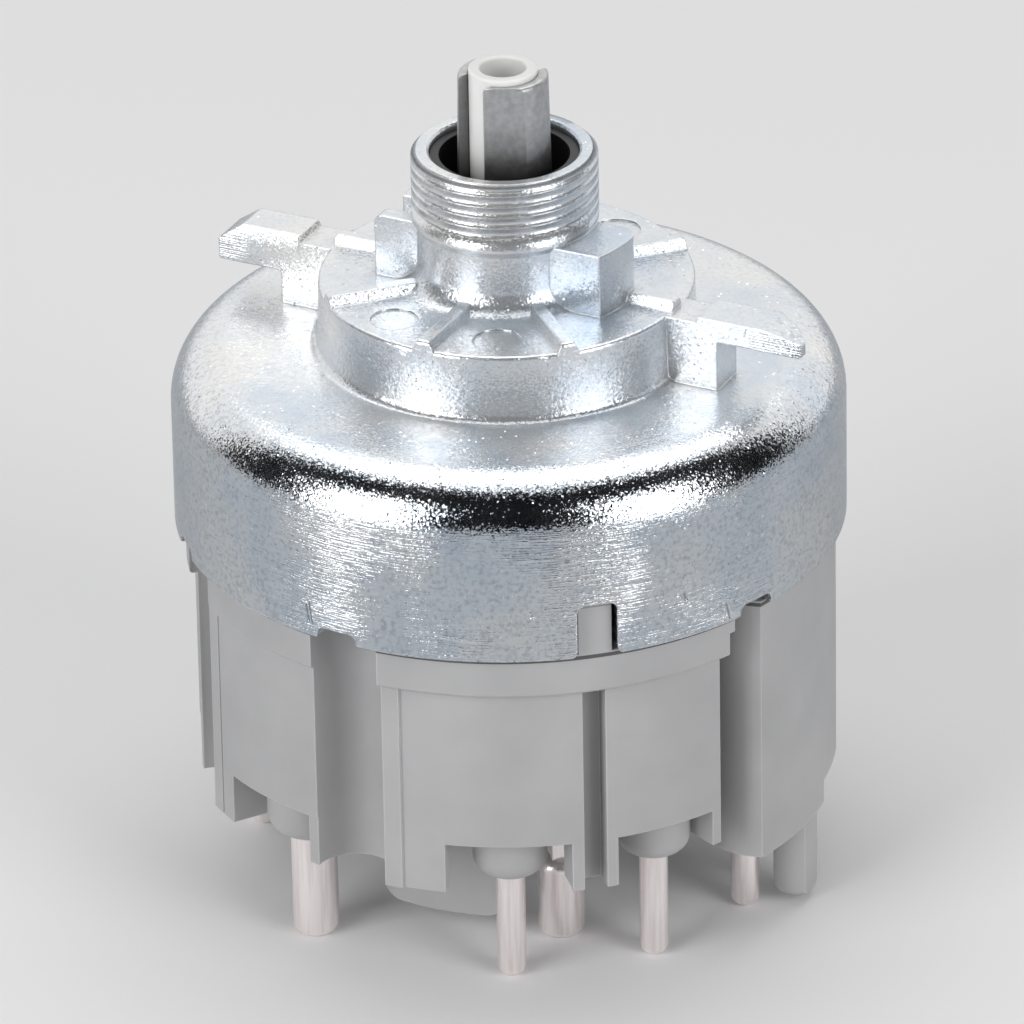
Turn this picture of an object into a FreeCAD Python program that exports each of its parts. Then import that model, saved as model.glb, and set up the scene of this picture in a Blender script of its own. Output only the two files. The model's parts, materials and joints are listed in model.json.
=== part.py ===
import FreeCAD, Part
import os
from math import asin, atan2, cos, degrees, pi, radians, sin, tan

# Headlight switch: cast housing with a threaded neck, moulded base with round pins, and the works inside.
# Millimetres, +Z up along the neck, z = 0 at the tips of the pins, +X along the long mounting wing.

# Base moulding, from the pin tips upwards
pinReach = 10.2
collarDrop = 4.6
legDrop = 4.6
skirtHeight = 18.5
flangeHeight = 3.8
flangeEdgeRadius = 0.4
spigotHeight = 6.2
floorThickness = 2.4
skirtInset = 1.6
skirtWall = 1.4
flangeProud = 0.7
stripProud = 0.25
stripWidth = 1.5
spigotClearance = 0.1

# Right panel, flush with the flange, and left panel, whose face runs out to the flange at one end
rightPanelStart = -15.0
rightPanelEnd = 20.5
rightPanelDrop = 4.2
leftPanelStart = -134.0
leftPanelEnd = -99.0
leftPanelShift = 1.03
leftPanelShiftAngle = 170.0
leftPanelProud = 0.12
leftGrooveAngle = -127.8
leftGrooveWidth = 0.25
leftGrooveDepth = 0.35

# Grooves in the side of the base, as angles round the neck axis
channelAngles = [-138.0, -94.5, 27.0, 70.5, 122.0, 174.0]
stripAngles = [-94.5, 70.5, 174.0]
channelRadius = 3.4
channelInset = 0.5
channelWall = 1.0
slotAngle = -49.3
slotWidth = 2.0
slotDepth = 2.1
slotWall = 1.0

# Open bay beside the right panel, with the round column that holds one pin on its far side
bayStart = -23.9
bayNotchAngle = -18.0
bayFlangeStart = -22.7
bayLedgeStart = -21.5
bayLedgeHeight = 1.55
bayInset = 5.2
bayWall = 1.05
columnRadius = 6.1
columnInset = 2.2
columnAngle = -3.4
columnDrop = 6.3

# Fins that run inwards from skirt edges: angle and depth below the floor
fins = [(-24.85, 3.3), (-124.95, 4.6)]
finInset = 5.4
finThickness = 0.9

# Skirt legs below the floor, as start and end angles
legSpans = [(-133.0, -124.0), (-88.0, -76.4), (-53.6, -45.5), (33.0, 41.0), (56.0, 64.5), (128.5, 132.0),
            (164.0, 168.0), (180.5, 186.0)]

# Guides for the connector under the base
arcGuideDrop = 12.4
arcGuideInset = 10.1
arcGuideWall = 1.7
arcGuideStart = -105.0
arcGuideEnd = -67.0
arcGuideEdgeRadius = 1.6
postAngle = 3.6
postRadius = 2.0
postInset = 1.1
postProud = 0.3
postDrop = 14.0
postEdgeRadius = 0.8

# Latch tab of the base in its notch in the housing rim
tabAngle = -49.3
tabWidth = 2.9
tabHeight = 4.7
tabChamfer = 0.4
tabSlotWidth = 0.45
tabPlay = 0.3
rimNotchWidth = 3.8
rimNotchHeight = 1.2
notchEdgeRadius = 0.7
notchMouthRadius = 0.9
notchMouthDrop = 0.05

# Terminal pins: name, angle, diameter. The pins of innerTerminals stand further in, on flat tongues.
terminals = [
    ("terminal_1", -113.8, 4.0),
    ("terminal_2", -65.0, 2.5),
    ("terminal_3", -49.9, 4.0),
    ("terminal_4", -32.5, 2.5),
    ("terminal_5", -3.1, 2.5),
    ("terminal_6", 48.0, 2.5),
    ("terminal_7", 88.0, 2.5),
    ("terminal_8", 106.0, 2.5),
    ("terminal_9", 128.0, 4.0),
    ("terminal_10", 139.0, 2.5),
    ("terminal_11", 157.0, 2.5),
    ("terminal_12", -166.5, 2.5),
]
innerTerminals = ["terminal_3", "terminal_9"]
columnTerminal = "terminal_5"
pinInset = 4.7
innerPinInset = 11.4
pinTipRadius = 0.85
pinShankExtra = 0.2
pinFit = 0.02
headHeight = 1.0
headLip = 0.9
collarLip = 1.95
collarEdgeRadius = 1.6
tongueWidth = 2.2
tongueThickness = 1.1
tongueOffset = -0.45
tongueLength = 2.4
pinShoulderRadius = 1.2

# Fixed contacts on the floor of the base
landInset = 6.4
landWidth = 8.6
contactInset = 0.6
contactLength = 6.8
contactHalfAngle = 4.6
contactThickness = 0.8
contactTabWidth = 3.0
contactPlay = 0.05

# Housing casting
canRadius = 29.0
canWall = 1.6
canHeight = 16.3
canRoof = 2.0
shoulderRadius = 5.0
innerShoulderRadius = 3.4
rimEdgeRadius = 0.4
bossRadius = 16.3
bossHeight = 6.0
bossDraft = 0.2
bossWall = 2.8
bossRoof = 3.0
bossEdgeRadius = 0.35
bossFootRadius = 0.8
neckRadius = 8.0
neckHeight = 12.0
neckWaist = 0.35
neckBore = 6.43
threadLength = 5.1
threadRelief = 1.2
neckFootRadius = 2.2
neckStepLength = 0.5
neckChamfer = 0.5
boreChamfer = 0.25
ribCount = 8
ribHeight = 0.85
ribBase = 1.9
ribTop = 1.0
ribEndRadius = 0.4
ejectorRadius = 2.05
ejectorCircleRadius = 12.7
ejectorDepth = 0.15
ejectorAngles = [-112.5, -67.5, 67.5, 112.5]

# Lugs beside the neck
lugHeight = 5.7
blockRadius = 11.8
blockFront = 4.4
blockBack = 1.8
blockEdgeRadius = 1.5
lugReach = 10.2
lugFront = 4.6
lugThickness = 1.4
secondLugReach = 9.6
secondLugFront = 0.3
secondLugThickness = 2.2
lugEdgeRadius = 0.8

# Mounting wings
wingHalfWidth = 1.95
wingStep = 0.55
wingStepReach = 19.0
webReach = 20.7
rightWingReach = 28.6
rightWingThickness = 2.0
leftWingReach = 26.7
leftWingThickness = 3.5
wingBevelLength = 3.6
wingBevelDrop = 0.8
leftTipBevelLength = 2.2
leftTipBevelDrop = 1.5
leftSideBevel = 0.45
leftSideBevelHeight = 1.6

# Rotor that carries the moving contacts, and its index ring
rotorGap = 0.3
rotorDiscPlay = 0.4
rotorDiscHeight = 6.0
rotorColumnRadius = 8.6
rotorWellRadius = 6.4
journalClearance = 0.05
journalDrop = 0.6
cupRadius = 5.6
cupDepth = 9.0
indexDiscPlay = 0.5
indexDiscHeight = 4.0
indexRingHeight = 4.5
indexRingWidth = 8.5
indexRingFit = 0.15
indexNotchDepth = 0.9
indexNotchRadius = 1.7
indexPitch = 30.0
indexFirst = -1
indexLast = 2
ballRadius = 1.4
ballPlay = 0.06
ballAngles = [90.0, 270.0]
ballGap = 0.15
indexSpringLength = 4.2
indexSpringMean = 1.05
ringPostRadius = 1.6
ringPostInset = 5.7
ringPostAngles = [30.0, 150.0, 270.0]

# Sliding bridges under the rotor
bridgeAngles = [0.0, 120.0, 240.0]
bridgeInset = 0.8
bridgeHalfAngle = 13.0
bridgeThickness = 1.0
bridgePlay = 0.3
bridgeLift = 0.75
bridgeSpringLength = 4.3
springWire = 0.35
springMeanRadius = 1.25
springTurns = 4
springStepsPerTurn = 10

# Spindle with its split sleeve, the light pipe inside and the pull contact at its foot
spindleReach = 7.0
spindleRadius = 4.0
spindleTaper = 0.15
spindleFlat = 3.6
spindlePlay = 0.06
spindleFootZone = 2.0
spindleFootLip = 0.5
spindleFootHeight = 1.2
pullTravel = 9.0
sleeveDepth = 8.5
sleeveFlat = 3.45
sleeveFlatAngle = -64.0
sleeveSlotWidth = 3.3
sleeveSlotAngle = -115.5
sleeveEdgeRadius = 0.35
pipeRadius = 2.95
pipeBore = 1.98
pipeEdgeRadius = 0.2
pipePlay = 0.05
pipeProud = 0.5
pullContactOuter = 6.0
pullContactThickness = 0.8
bladeWidth = 2.0
bladeThickness = 0.5
bladeInset = 0.75
bladeReach = 7.0
bladeAngles = [-140.0, 40.0]

# Heights that follow from the sizes above
floorBottomZ = pinReach + collarDrop
legBottomZ = floorBottomZ - legDrop
floorTopZ = floorBottomZ + floorThickness
panelBottomZ = floorBottomZ - rightPanelDrop
columnBottomZ = floorBottomZ - columnDrop
rimZ = floorBottomZ + skirtHeight
flangeBottomZ = rimZ - flangeHeight
spigotTopZ = rimZ + spigotHeight
channelTopZ = rimZ + rimNotchHeight
landTopZ = floorTopZ + headHeight
contactTopZ = landTopZ + contactThickness
canTopZ = rimZ + canHeight
bossTopZ = canTopZ + bossHeight
neckTopZ = bossTopZ + neckHeight
threadBottomZ = neckTopZ - threadLength
spindleTopZ = neckTopZ + spindleReach
pipeTopZ = spindleTopZ + pipeProud
cavityTopZ = canTopZ - canRoof
bossRoofZ = bossTopZ - bossRoof
rotorBottomZ = contactTopZ + rotorGap
rotorDiscTopZ = rotorBottomZ + rotorDiscHeight
rotorTopZ = neckTopZ - journalDrop
cupFloorZ = rotorTopZ - cupDepth
indexRingTopZ = spigotTopZ + indexRingHeight
indexDiscBottomZ = spigotTopZ + (indexRingHeight - indexDiscHeight) / 2
ballZ = indexDiscBottomZ + indexDiscHeight / 2
spindleBottomZ = floorTopZ + spindleFootZone + bladeThickness
footTopZ = spindleBottomZ + spindleFootHeight
pullContactTopZ = footTopZ + pullContactThickness
wellTopZ = pullContactTopZ + pullTravel + spindlePlay
sleeveBottomZ = neckTopZ - sleeveDepth

# Radii that follow
spigotRadius = canRadius - canWall - spigotClearance
skirtRadius = canRadius - skirtInset
wellRadius = skirtRadius - skirtWall
flangeRadius = skirtRadius + flangeProud
channelCircleRadius = skirtRadius - channelInset
pinCircleRadius = skirtRadius - pinInset
innerPinCircleRadius = skirtRadius - innerPinInset
arcGuideRadius = skirtRadius - arcGuideInset
bayRadius = skirtRadius - bayInset
landOuter = skirtRadius - landInset
landInner = landOuter - landWidth
contactOuter = landOuter - contactInset
contactInner = contactOuter - contactLength
bridgeOuter = contactOuter - bridgeInset
bridgeInner = contactInner + bridgeInset
rotorDiscRadius = landOuter - rotorDiscPlay
indexRingInner = canRadius - canWall - indexRingWidth
indexDiscRadius = indexRingInner - indexDiscPlay
ringPostCircleRadius = canRadius - ringPostInset
journalRadius = neckBore - journalClearance
bladeCircleRadius = pullContactOuter - bladeInset

up = FreeCAD.Vector(0, 0, 1)
origin = FreeCAD.Vector(0, 0, 0)


def at(radius, angle, z=0.0):
    a = radians(angle)
    return FreeCAD.Vector(radius * cos(a), radius * sin(a), z)


def turned(shape, angle):
    copy = shape.copy()
    copy.rotate(origin, up, angle)
    return copy


def cylinder(radius, bottom, top, centre=origin):
    return Part.makeCylinder(radius, top - bottom, FreeCAD.Vector(centre.x, centre.y, bottom))


def ring(outer, inner, bottom, top):
    return cylinder(outer, bottom, top).cut(cylinder(inner, bottom - 1, top + 1))


def block(x0, x1, y0, y1, z0, z1):
    return Part.makeBox(x1 - x0, y1 - y0, z1 - z0, FreeCAD.Vector(x0, y0, z0))


def fused(shapes):
    return shapes[0].multiFuse(shapes[1:]) if len(shapes) > 1 else shapes[0]


def roundedWire(corners):
    """A closed wire through corners given as (u, v, radius), on the XZ plane."""
    edges = []
    starts = []
    ends = []
    count = len(corners)
    for i, (u, v, radius) in enumerate(corners):
        here = FreeCAD.Vector(u, 0, v)
        before = FreeCAD.Vector(corners[i - 1][0], 0, corners[i - 1][1])
        after = FreeCAD.Vector(corners[(i + 1) % count][0], 0, corners[(i + 1) % count][1])
        if radius <= 0:
            starts.append(here)
            ends.append(here)
            continue
        toBefore = (before - here).normalize()
        toAfter = (after - here).normalize()
        half = toBefore.getAngle(toAfter) / 2
        back = radius / tan(half)
        first = here + toBefore * back
        last = here + toAfter * back
        centre = here + (toBefore + toAfter).normalize() * (radius / sin(half))
        middle = centre + (here - centre).normalize() * radius
        edges.append(Part.Arc(first, middle, last).toShape())
        starts.append(first)
        ends.append(last)
    for i in range(count):
        start = ends[i]
        end = starts[(i + 1) % count]
        if start.distanceToPoint(end) > 1e-6:
            edges.append(Part.makeLine(start, end))
    return Part.Wire(Part.__sortEdges__(edges))


def revolved(corners):
    return Part.Face(roundedWire(corners)).revolve(origin, up, 360)


def extrudedY(corners, y0, y1):
    face = Part.Face(roundedWire(corners))
    face.translate(FreeCAD.Vector(0, y0, 0))
    return face.extrude(FreeCAD.Vector(0, y1 - y0, 0))


def radialPlate(corners, inner, outer, angle):
    """An outline in the tangent plane, given as (across, z, radius), extruded outwards."""
    solid = extrudedY(corners, inner, outer)
    return turned(solid, angle - 90)


def sector(outer, inner, bottom, top, start, end):
    """A piece of a ring between two angles."""
    a0 = radians(start)
    a1 = radians(end)
    mid = (a0 + a1) / 2

    def point(radius, angle):
        return FreeCAD.Vector(radius * cos(angle), radius * sin(angle), bottom)

    edges = [
        Part.Arc(point(outer, a0), point(outer, mid), point(outer, a1)).toShape(),
        Part.makeLine(point(outer, a1), point(inner, a1)),
        Part.Arc(point(inner, a1), point(inner, mid), point(inner, a0)).toShape(),
        Part.makeLine(point(inner, a0), point(outer, a0)),
    ]
    return Part.Face(Part.Wire(edges)).extrude(FreeCAD.Vector(0, 0, top - bottom))


def coil(meanRadius, wire, length, turns):
    """A compression spring standing on z = 0, lofted through hexagonal sections of its wire."""
    steps = turns * springStepsPerTurn
    rise = (length - wire) / steps
    tilt = degrees(atan2(rise, 2 * pi * meanRadius / springStepsPerTurn))
    sections = []
    for step in range(steps + 1):
        section = Part.makePolygon([
            FreeCAD.Vector(meanRadius + wire / 2 * cos(side * pi / 3), 0, wire / 2 * sin(side * pi / 3))
            for side in range(7)
        ])
        section.rotate(FreeCAD.Vector(meanRadius, 0, 0), FreeCAD.Vector(1, 0, 0), tilt)
        section.rotate(origin, up, step * 360.0 / springStepsPerTurn)
        section.translate(FreeCAD.Vector(0, 0, wire / 2 + step * rise))
        sections.append(section)
    return Part.makeLoft(sections, True, True)


# Housing

def wing(reach, thickness, tipLength, tipDrop):
    """A mounting wing along +X: a web on the can, an inner arm and a raised, bevelled outer arm."""
    armZ = bossTopZ
    topZ = bossTopZ + wingStep
    outline = [
        (bossRadius - 2, canTopZ - canRoof / 2, 0),
        (webReach, canTopZ - canRoof / 2, 0),
        (webReach, topZ - thickness, 0.3),
        (reach, topZ - thickness, 0.3),
        (reach, topZ - tipDrop, 0.3),
        (reach - tipLength, topZ, 0),
        (wingStepReach, topZ, 0),
        (wingStepReach - wingStep / 2, armZ, 0),
        (bossRadius - 2, armZ, 0),
    ]
    return extrudedY(outline, -wingHalfWidth, wingHalfWidth)


def rightWing():
    solid = wing(rightWingReach, rightWingThickness, wingBevelLength, wingBevelDrop)
    # The back corner of the tip is cut away in a long slant
    slant = Part.Face(Part.makePolygon([
        FreeCAD.Vector(rightWingReach - wingBevelLength, wingHalfWidth, 0),
        FreeCAD.Vector(rightWingReach + 1, wingHalfWidth, 0),
        FreeCAD.Vector(rightWingReach + 1, -wingHalfWidth * 0.6, 0),
        FreeCAD.Vector(rightWingReach, -wingHalfWidth * 0.6, 0),
        FreeCAD.Vector(rightWingReach - wingBevelLength / 3, wingHalfWidth * 0.25, 0),
        FreeCAD.Vector(rightWingReach - wingBevelLength, wingHalfWidth, 0),
    ])).extrude(up * neckTopZ)
    return solid.cut(slant)


def leftWing():
    solid = wing(leftWingReach, leftWingThickness, leftTipBevelLength, leftTipBevelDrop)
    topZ = bossTopZ + wingStep
    bevel = Part.Face(Part.makePolygon([
        FreeCAD.Vector(wingStepReach, wingHalfWidth + 0.01, topZ - leftSideBevelHeight),
        FreeCAD.Vector(wingStepReach, wingHalfWidth + 0.01, topZ + 0.01),
        FreeCAD.Vector(wingStepReach, wingHalfWidth - leftSideBevel, topZ + 0.01),
        FreeCAD.Vector(wingStepReach, wingHalfWidth + 0.01, topZ - leftSideBevelHeight),
    ])).extrude(FreeCAD.Vector(leftWingReach, 0, 0))
    return turned(solid.cut(bevel), 180)


def rib(angle):
    """A low drafted rib on the boss, from the neck to the boss edge, with a rounded outer end."""
    section = [
        FreeCAD.Vector(0, -ribBase / 2, bossTopZ),
        FreeCAD.Vector(0, ribBase / 2, bossTopZ),
        FreeCAD.Vector(0, ribTop / 2, bossTopZ + ribHeight),
        FreeCAD.Vector(0, -ribTop / 2, bossTopZ + ribHeight),
        FreeCAD.Vector(0, -ribBase / 2, bossTopZ),
    ]
    length = bossRadius - bossDraft
    solid = Part.Face(Part.makePolygon(section)).extrude(FreeCAD.Vector(length, 0, 0))
    rounding = revolved([
        (0, bossTopZ - 0.5, 0),
        (length, bossTopZ - 0.5, 0),
        (length, bossTopZ + ribHeight, ribEndRadius),
        (0, bossTopZ + ribHeight, 0),
    ])
    foot = block(0, length, -ribBase / 2, ribBase / 2, bossTopZ - 0.5, bossTopZ)
    return turned(solid.common(rounding).fuse(foot), angle)


def lugs():
    """The round block and the two narrow lugs that key the neck in its panel."""
    topZ = bossTopZ + lugHeight
    lowZ = bossTopZ - 0.5
    inside = neckRadius / 2
    right = cylinder(blockRadius, lowZ, topZ).common(
        block(inside, blockRadius + 1, -blockFront, blockBack, lowZ, topZ))
    right = right.makeFillet(blockEdgeRadius, [outerEdge(right, blockBack)])
    first = block(-lugReach, -inside, -lugFront, -lugFront + lugThickness, lowZ, topZ)
    topEdges = [e for e in first.Edges if abs(e.CenterOfMass.x + lugReach) < 0.01 and abs(e.CenterOfMass.z - topZ) < 0.01]
    first = first.makeFillet(lugEdgeRadius, topEdges)
    second = block(-secondLugReach, -inside, -secondLugFront, secondLugThickness - secondLugFront, lowZ, topZ)
    return [right, first, second]


def outerEdge(solid, y):
    """The outermost upright edge of a solid in the plane of this y."""
    upright = [e for e in solid.Edges if abs(e.CenterOfMass.y - y) < 0.01
               and abs(e.Vertexes[0].Point.x - e.Vertexes[-1].Point.x) < 0.01
               and abs(e.Vertexes[0].Point.y - e.Vertexes[-1].Point.y) < 0.01]
    return max(upright, key=lambda e: e.CenterOfMass.x)


def rimNotch(angle, width, height):
    """A notch in the lower edge of the can wall, with rounded upper corners and a rounded mouth."""
    mouth = min(notchMouthRadius, height - notchEdgeRadius)
    side = width / 2 + mouth + notchEdgeRadius
    mouthZ = rimZ - notchMouthDrop
    outline = [
        (-side, rimZ - canWall, 0),
        (side, rimZ - canWall, 0),
        (side, mouthZ, 0),
        (width / 2, mouthZ, mouth),
        (width / 2, rimZ + height, notchEdgeRadius),
        (-width / 2, rimZ + height, notchEdgeRadius),
        (-width / 2, mouthZ, mouth),
        (-side, mouthZ, 0),
    ]
    return radialPlate(outline, spigotRadius - 2, canRadius + 1, angle)


def housing():
    outer = revolved([
        (0, rimZ, 0),
        (canRadius, rimZ, rimEdgeRadius),
        (canRadius, canTopZ, shoulderRadius),
        (bossRadius, canTopZ, bossFootRadius),
        (bossRadius - bossDraft, bossTopZ, bossEdgeRadius),
        (neckRadius - neckWaist, bossTopZ, neckFootRadius),
        (neckRadius - neckWaist, threadBottomZ - threadRelief - neckStepLength, 0),
        (neckRadius, threadBottomZ - threadRelief, 0),
        (neckRadius, neckTopZ, 0),
        (0, neckTopZ, 0),
    ])
    neckTop = revolved([
        (neckRadius - neckChamfer, neckTopZ, 0),
        (neckRadius + 1, neckTopZ - neckChamfer - 1, 0),
        (neckRadius + 1, neckTopZ + 1, 0),
        (neckRadius - neckChamfer, neckTopZ + 1, 0),
    ])
    solid = outer.cut(neckTop)
    ribs = [rib(i * 360.0 / ribCount) for i in range(ribCount)]
    solid = fused([solid, rightWing(), leftWing()] + ribs + lugs())
    for angle in ejectorAngles:
        mark = at(ejectorCircleRadius, angle)
        solid = solid.cut(cylinder(ejectorRadius, bossTopZ - ejectorDepth, bossTopZ + ribHeight, mark))
    cavity = revolved([
        (0, rimZ - 1, 0),
        (canRadius - canWall, rimZ - 1, 0),
        (canRadius - canWall, cavityTopZ, innerShoulderRadius),
        (bossRadius - bossWall, cavityTopZ, 0),
        (bossRadius - bossWall, bossRoofZ, 0),
        (neckBore, bossRoofZ, 0),
        (neckBore, neckTopZ - boreChamfer, 0),
        (neckBore + boreChamfer * 2, neckTopZ + boreChamfer, 0),
        (0, neckTopZ + boreChamfer, 0),
    ])
    solid = solid.cut(cavity)
    for angle in ringPostAngles:
        post = cylinder(ringPostRadius, indexRingTopZ, cavityTopZ + canRoof / 2, at(ringPostCircleRadius, angle))
        solid = solid.fuse(post)
    notches = [rimNotch(angle, rimNotchWidth, rimNotchHeight) for angle in channelAngles + [bayNotchAngle]]
    notches.append(rimNotch(tabAngle, tabWidth + 2 * tabPlay, tabHeight + tabPlay))
    return solid.cut(fused(notches))


# Base moulding

def pinCentre(name, angle):
    return at(innerPinCircleRadius if name in innerTerminals else pinCircleRadius, angle)


def shankRadius(diameter):
    """The stretch of a pin that is held in the moulding is a little thicker."""
    return diameter / 2 + pinShankExtra


def shankBottom(name):
    """Where a pin enters the moulding."""
    if name == columnTerminal:
        return columnBottomZ
    return floorBottomZ if name in innerTerminals else pinReach


def collar(name, angle, diameter):
    """The moulded collar round an outer pin, or the tall column round the pin that stands in the bay."""
    radius = diameter / 2 + collarLip
    top = floorBottomZ + floorThickness / 2
    if name == columnTerminal:
        return cylinder(columnRadius, columnBottomZ, rimZ, columnCentre()).common(
            ring(flangeRadius, wellRadius, columnBottomZ, rimZ).fuse(cylinder(flangeRadius, columnBottomZ, top)))
    solid = revolved([
        (0, pinReach, 0),
        (radius, pinReach, collarEdgeRadius),
        (radius, top, 0),
        (0, top, 0),
    ])
    solid.translate(pinCentre(name, angle))
    return solid


def arcGuide():
    """The curved guide wall, concentric with the neck, with rounded lower corners."""
    bottom = floorBottomZ - arcGuideDrop
    solid = sector(arcGuideRadius, arcGuideRadius - arcGuideWall, bottom, floorTopZ - 0.5, arcGuideStart, arcGuideEnd)
    half = arcGuideRadius * sin(radians((arcGuideEnd - arcGuideStart) / 2))
    outline = radialPlate([
        (-half, bottom, arcGuideEdgeRadius),
        (half, bottom, arcGuideEdgeRadius),
        (half, floorTopZ, 0),
        (-half, floorTopZ, 0),
    ], arcGuideRadius / 3, arcGuideRadius + 1, (arcGuideStart + arcGuideEnd) / 2)
    return solid.common(outline)


def guidePost():
    """The guide post at the skirt, round on its inner side."""
    bottom = floorBottomZ - postDrop
    solid = revolved([
        (0, bottom, 0),
        (postRadius, bottom, postEdgeRadius),
        (postRadius, floorTopZ - 0.5, 0),
        (0, floorTopZ - 0.5, 0),
    ])
    solid.translate(at(skirtRadius - postInset, postAngle))
    return solid.common(cylinder(skirtRadius + postProud, bottom - 1, floorTopZ))


def skirtLegs():
    """The legs below the skirt, and the thin fins that run inwards from two of its edges."""
    solids = [sector(skirtRadius, wellRadius, legBottomZ, floorTopZ, start, end) for start, end in legSpans]
    for angle, drop in fins:
        fin = block(skirtRadius - finInset, skirtRadius + 1, -finThickness / 2, finThickness / 2,
                    floorBottomZ - drop, floorTopZ - 0.5)
        solids.append(turned(fin, angle).common(cylinder(skirtRadius, legBottomZ - 1, floorTopZ)))
    return solids


def skirtPanels():
    """The right panel, flush with the flange, and the left panel, which meets the flange at one end only."""
    right = sector(flangeRadius, wellRadius, panelBottomZ, rimZ, rightPanelStart, rightPanelEnd)
    shifted = cylinder(skirtRadius + leftPanelProud, legBottomZ, rimZ, at(leftPanelShift, leftPanelShiftAngle))
    high = sector(flangeRadius, wellRadius, floorBottomZ, rimZ, leftPanelStart, leftPanelEnd)
    low = sector(flangeRadius, wellRadius, legBottomZ, floorTopZ, legSpans[0][0], legSpans[0][1])
    return [right, shifted.common(high.fuse(low))]


def skirtStrips():
    """The strips beside some channels, which stand a little proud of the skirt."""
    widthAngle = degrees(stripWidth / skirtRadius)
    edgeAngle = degrees(asin(channelRadius / skirtRadius))
    solids = []
    for angle in stripAngles:
        start = angle + edgeAngle - widthAngle / 2
        solids.append(sector(skirtRadius + stripProud, wellRadius, legBottomZ, flangeBottomZ + 0.5, start,
                             start + 1.5 * widthAngle))
    return solids


def wellWalls(slotBack, slotHalf):
    """What stays standing inside the well: walls round the channels, slot and bay, and the contact land."""
    solids = []
    for angle in channelAngles:
        solids.append(cylinder(channelRadius + channelWall, floorTopZ - 1, channelTopZ + channelWall,
                               at(channelCircleRadius, angle)))
    solids.append(turned(block(slotBack, skirtRadius, -slotHalf, slotHalf, floorTopZ - 1, rimZ), slotAngle))
    solids.append(ring(landOuter, landInner, floorTopZ - 1, landTopZ))
    wallStart = bayStart - degrees(bayWall / wellRadius)
    solids.append(sector(wellRadius + 0.1, bayRadius - bayWall, floorTopZ - 1, channelTopZ + bayWall, wallStart,
                         columnAngle))
    return solids


def columnCentre():
    return at(skirtRadius - columnInset, columnAngle)


def bayCuts():
    """The bay and its opening in the skirt, beside the column, and the hollow of the column above the floor."""
    outside = flangeRadius + 1
    inside = wellRadius - 0.1
    bay = fused([
        sector(wellRadius, bayRadius, columnBottomZ, channelTopZ, bayStart, columnAngle),
        sector(outside, inside, columnBottomZ, flangeBottomZ, bayStart, rightPanelStart),
        sector(outside, inside, flangeBottomZ - 0.1, rimZ - bayLedgeHeight, bayFlangeStart, rightPanelStart),
        sector(outside, inside, rimZ - bayLedgeHeight - 0.1, channelTopZ, bayLedgeStart, rightPanelStart),
    ])
    hollow = cylinder(columnRadius - bayWall, floorTopZ, spigotTopZ + 1, columnCentre())
    return [
        bay.cut(cylinder(columnRadius, columnBottomZ - 1, channelTopZ + 1, columnCentre())),
        hollow.common(ring(wellRadius, landOuter, floorTopZ, spigotTopZ + 1)),
    ]


def latchTab():
    """The latch tab, flush with the flange, with a chamfer along its outer top edge."""
    top = rimZ + tabHeight
    solid = extrudedY([
        (wellRadius, flangeBottomZ + flangeEdgeRadius, 0),
        (flangeRadius + 1, flangeBottomZ + flangeEdgeRadius, 0),
        (flangeRadius + 1, top - tabChamfer - 1, 0),
        (flangeRadius - tabChamfer, top, 0),
        (wellRadius, top, 0),
    ], -tabWidth / 2, tabWidth / 2)
    return turned(solid, tabAngle).common(cylinder(flangeRadius, flangeBottomZ, spigotTopZ))


def terminalBase():
    body = cylinder(skirtRadius, floorBottomZ, rimZ)
    flange = revolved([
        (0, flangeBottomZ, 0),
        (flangeRadius, flangeBottomZ, flangeEdgeRadius),
        (flangeRadius, rimZ, 0),
        (0, rimZ, 0),
    ])
    spigot = cylinder(spigotRadius, rimZ - 1, spigotTopZ)
    walls = []
    for angle in channelAngles:
        wall = cylinder(channelRadius + channelWall, legBottomZ, rimZ, at(channelCircleRadius, angle))
        walls.append(wall.common(cylinder(skirtRadius, legBottomZ - 1, rimZ + 1)))
    slotBack = skirtRadius - slotDepth - slotWall
    slotHalf = slotWidth / 2 + slotWall
    slotBlock = block(slotBack, skirtRadius - 0.1, -slotHalf, slotHalf, legBottomZ, rimZ)
    solid = fused([body, flange, spigot] + skirtLegs() + skirtPanels() + walls + [turned(slotBlock, slotAngle)])
    solid = fused([solid] + skirtStrips())
    # Hollow well for the works, open at the top
    well = cylinder(wellRadius, floorTopZ, spigotTopZ + 1)
    solid = solid.cut(well.cut(fused(wellWalls(slotBack, slotHalf))))
    collars = [collar(name, angle, size) for name, angle, size in terminals if name not in innerTerminals]
    solid = fused([solid, arcGuide(), guidePost(), latchTab()] + collars)
    cuts = [cylinder(channelRadius, legBottomZ - 1, channelTopZ, at(channelCircleRadius, a)) for a in channelAngles]
    slot = block(skirtRadius - slotDepth, skirtRadius + 2, -slotWidth / 2, slotWidth / 2, legBottomZ - 1, flangeBottomZ)
    cuts.append(turned(slot, slotAngle))
    groove = block(flangeRadius - leftGrooveDepth, flangeRadius + 1, -leftGrooveWidth / 2, leftGrooveWidth / 2,
                   legBottomZ - 1, flangeBottomZ)
    cuts.append(turned(groove, leftGrooveAngle))
    # Slots that free the sides of the latch tab
    for side in (-1, 1):
        middle = side * (tabWidth + tabSlotWidth) / 2
        free = block(wellRadius - 1, canRadius, middle - tabSlotWidth / 2, middle + tabSlotWidth / 2, rimZ,
                     spigotTopZ + 1)
        cuts.append(turned(free, tabAngle))
    for name, angle, size in terminals:
        centre = pinCentre(name, angle)
        cuts.append(cylinder(shankRadius(size) + pinFit, shankBottom(name) - 1, floorTopZ + 0.5, centre))
        cuts.append(cylinder(size / 2 + headLip + pinFit, floorTopZ, landTopZ + 1, centre))
    return solid.cut(fused(cuts + bayCuts()))


# Terminals and fixed contacts

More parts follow.
